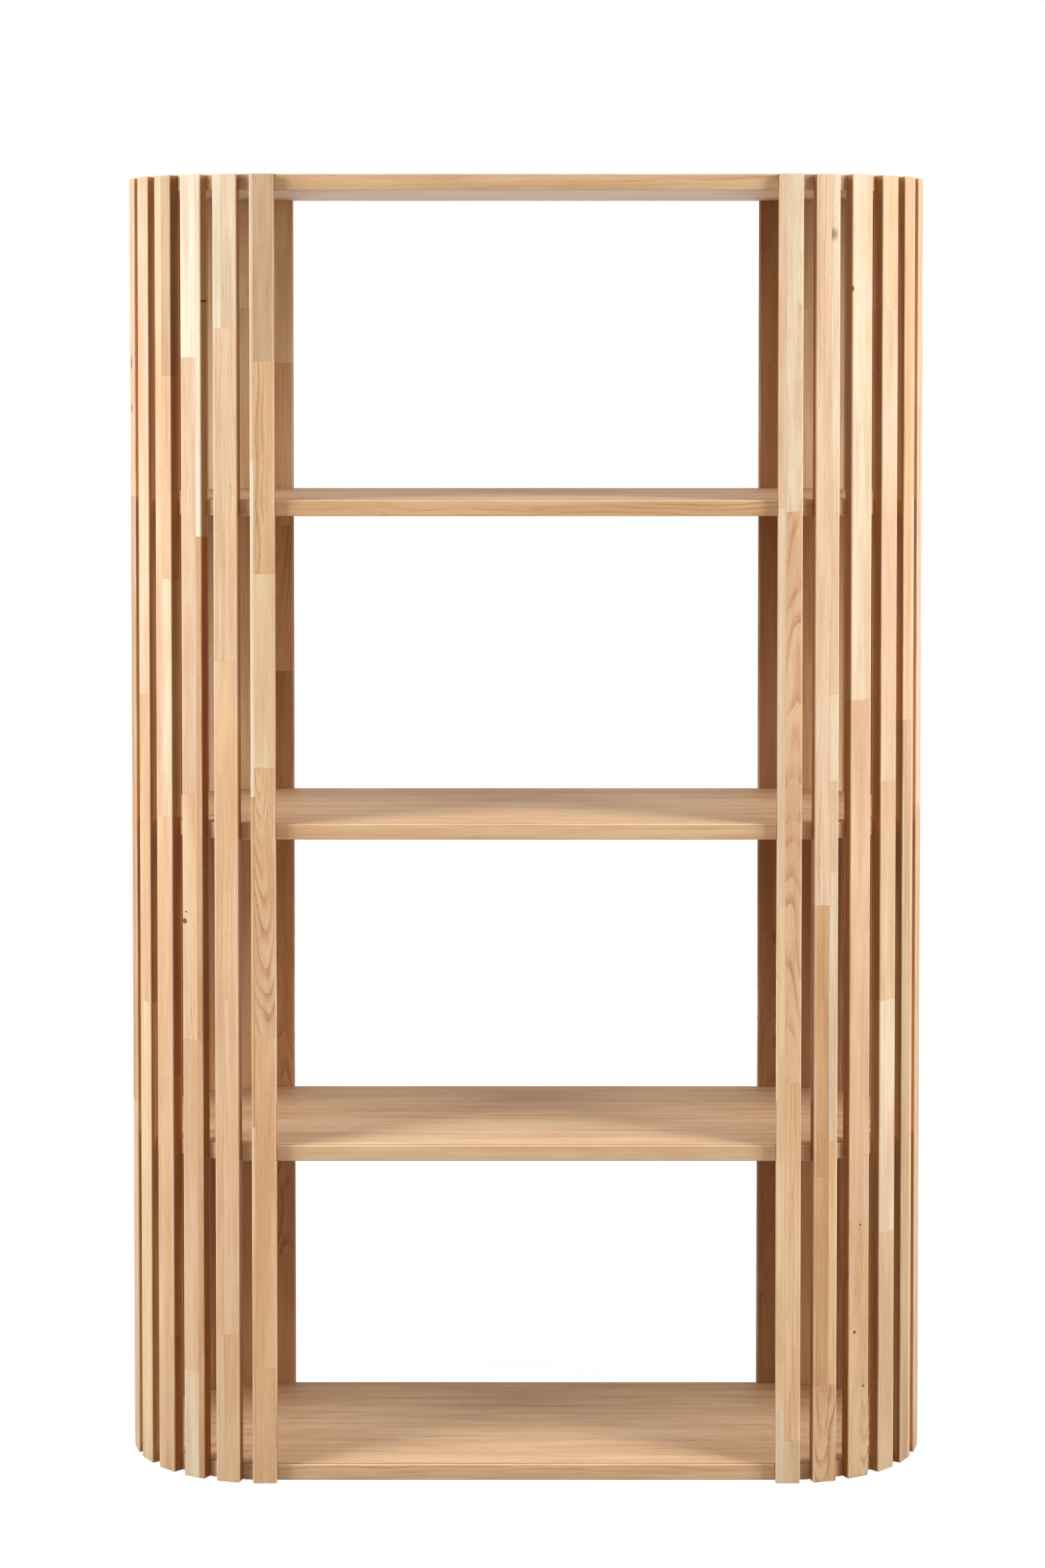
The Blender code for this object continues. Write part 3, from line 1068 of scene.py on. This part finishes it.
# %% [markdown]
# ## Dowels
# Beech dowels pin each post to every shelf, and nothing of them shows once the bookcase is glued.
# They are made all the same, for whoever takes it apart: rods with small flutes, which let the
# glue out, and rounded noses. The radius is a wave round the rod, less the inset of the nose.
# Beech is plainer than oak: pinkish, close-grained, and dotted with short dark flecks.

# %% Beech finish
BEECH = (*linear(222, 184, 150), 1.0)
BEECH_FLECK = (*linear(168, 120, 84), 1.0)
BEECH_CELLS = (1400.0, 60.0)
BEECH_SHARE = 0.35
BEECH_ROUGHNESS = (0.25, 0.55)
BEECH_BUMP = 0.25
BEECH_DEPTH = 0.0001
FLECK_CELLS = (2600.0, 420.0)
FLECK_RANGE = (0.58, 0.68)


def beech_finish():
    """Pinkish wood along Y with fine fibres and short flecks."""
    material, tree, shader = new_material("raw_beech_dowel")
    x, y, z = parts(tree, add_node(tree, "TexCoord").outputs["Object"])
    grain = add_node(tree, "CombineXYZ", x, z, y).outputs[0]
    fibres = fibre_noise(tree, grain, BEECH_CELLS, 3.0)
    flecks = ramp(tree, fibre_noise(tree, grain, FLECK_CELLS, 1.0), *FLECK_RANGE)
    streaks = maths(tree, "MULTIPLY", fibres, BEECH_SHARE)
    streaked = blend(tree, streaks, BEECH, RING_BROWN, "MULTIPLY")
    tree.links.new(blend(tree, flecks, streaked, BEECH_FLECK), shader.inputs["Base Color"])
    rough = maths(tree, "MULTIPLY_ADD", fibres, *BEECH_ROUGHNESS)
    tree.links.new(rough, shader.inputs["Roughness"])
    add_bump(tree, shader, fibres, BEECH_BUMP, BEECH_DEPTH)
    return material


beech = beech_finish()
print("made", beech.name)

# %% Dowels
FLUTES = 18
FLUTE_STEPS = 6
FLUTE_DEPTH = 0.00025
DOWEL_NOSE = 0.0012
DOWELS = sorted(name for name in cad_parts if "_dowel_" in name)


def dowel_mesh_data(low, high):
    """Rings along Y of radius half width - depth * (1 + cos(flutes * angle)) / 2 - inset of the nose."""
    angle = np.linspace(0.0, 2 * math.pi, FLUTES * FLUTE_STEPS, endpoint=False)
    inset, rise = rounded_edge(DOWEL_NOSE, LAND)
    along = np.concatenate([low[1] + rise, high[1] - rise[::-1]])
    groove = FLUTE_DEPTH * (1 + np.cos(FLUTES * angle)) / 2
    radius = (high[0] - low[0]) / 2 - groove - np.append(inset, inset[::-1])[:, None]
    middle = (low + high) / 2
    x = middle[0] + radius * np.cos(angle)
    z = middle[2] - radius * np.sin(angle)
    y = np.broadcast_to(along[:, None], x.shape)
    points = np.stack([x, y, z], axis=-1).reshape(-1, 3)
    return points, capped_tube(len(along), len(angle))


for dowel_name in DOWELS:
    points, faces = dowel_mesh_data(*node_box(dowel_name))
    place_piece(dowel_name, "beech", points, faces, beech)
print("dowels made:", len(DOWELS))

# %% [markdown]
# ## Floor and surroundings
# The bookcase stands on a white floor in white surroundings. The floor shows the camera a soft
# glow of its own, so it stays white, and takes the shadow of the bookcase on top. The glow and the
# white of the surroundings are only seen: what they cast on the wood is set apart, and weaker.

# %% Floor
WHITE = (1.0, 1.0, 1.0, 1.0)
FLOOR_HALF = 9.0
FLOOR_DROP = 0.0006
FLOOR_PAINT = (0.30, 0.30, 0.30, 1.0)
FLOOR_GLOW = (0.88, 1.0)
FLOOR_REACH = (0.8, 3.0)


def seen_directly(tree):
    """One where a ray comes from the camera or by gloss or glass, else nought."""
    path = add_node(tree, "LightPath").outputs
    seen = maths(tree, "MAXIMUM", path["Is Camera Ray"], path["Is Glossy Ray"])
    return maths(tree, "MAXIMUM", seen, path["Is Transmission Ray"])


def floor_finish():
    """White that keeps shadows: matt paint plus a glow, stronger far away, that is only seen."""
    material, tree, shader = new_material("white_floor")
    tree.nodes.remove(shader)
    matt = add_node(tree, "BsdfDiffuse", FLOOR_PAINT)
    far = length(tree, add_node(tree, "TexCoord").outputs["Object"])
    glow = ramp(tree, far, *FLOOR_REACH, *FLOOR_GLOW)
    strength = maths(tree, "MULTIPLY", seen_directly(tree), glow)
    light = add_node(tree, "Emission", WHITE, strength)
    both = add_node(tree, "AddShader", matt.outputs[0], light.outputs[0])
    tree.links.new(both.outputs[0], tree.nodes["Material Output"].inputs["Surface"])
    return material


sides = np.array((-FLOOR_HALF, FLOOR_HALF))
floor_x, floor_y = np.meshgrid(sides, sides)
floor_z = np.full_like(floor_x, -FLOOR_DROP)
floor_points = np.stack([floor_x, floor_y, floor_z], axis=-1).reshape(-1, 3)
floor_mesh = bpy.data.meshes.new("floor")
floor_mesh.from_pydata(floor_points.tolist(), [], [(0, 1, 3, 2)])
floor_mesh.materials.append(floor_finish())
floor = bpy.data.objects.new("floor", floor_mesh)
bpy.context.scene.collection.objects.link(floor)
print("floor", 2 * FLOOR_HALF, "m wide")

# %% Surroundings
AMBIENT = 0.40

world = bpy.data.worlds.new("white_room")
world.use_nodes = True
air = world.node_tree
air.nodes.clear()
seen = add_node(air, "Background", WHITE, 1.0)
felt = add_node(air, "Background", WHITE, AMBIENT)
choice = add_node(air, "MixShader", seen_directly(air), felt.outputs[0], seen.outputs[0])
air.links.new(choice.outputs[0], add_node(air, "OutputWorld").inputs["Surface"])
bpy.context.scene.world = world
bpy.context.scene.view_settings.view_transform = "Standard"
print("ambient light", AMBIENT)

# %% [markdown]
# ## Light
# Two large soft boxes stand high in front, to the left and to the right: their light falls a
# little way onto every shelf, and leaves the inner sides of the slats in shade, which a painted
# shade deepens. A long strip lies on the floor behind. It lights the back and the undersides,
# and is too low to reach the tops of the shelves.

# %% Lights
LAMP_SPREAD = math.radians(120)
BOX_PLACE = (2.66, -1.42, 2.25)
BOX_AIM = (0.0, 0.0, 0.3)
BOX_SIZE = (1.2, 1.8)
BOX_WATTS = 45.4
STRIP_PLACE = (0.0, 3.0, SHELF_THICKNESS / 2)
STRIP_AIM = (0.0, 0.0, 1.0)
STRIP_SIZE = (2.4, 0.02)
STRIP_WATTS = 18.0


def soft_lamp(name, place, aim, size, watts):
    """An oblong lamp of this width and height that faces the point it aims at."""
    data = bpy.data.lights.new(name, "AREA")
    data.shape = "RECTANGLE"
    data.size, data.size_y = size
    data.spread = LAMP_SPREAD
    data.energy = watts
    lamp = bpy.data.objects.new(name, data)
    lamp.location = place
    lamp.rotation_euler = (Vector(aim) - Vector(place)).to_track_quat("-Z", "Y").to_euler()
    bpy.context.scene.collection.objects.link(lamp)


for end, side in ENDS:
    place = (side * BOX_PLACE[0], *BOX_PLACE[1:])
    soft_lamp(f"{end}_soft_box", place, BOX_AIM, BOX_SIZE, BOX_WATTS)
soft_lamp("rear_strip", STRIP_PLACE, STRIP_AIM, STRIP_SIZE, STRIP_WATTS)
print("lamps:", len(ENDS) + 1)
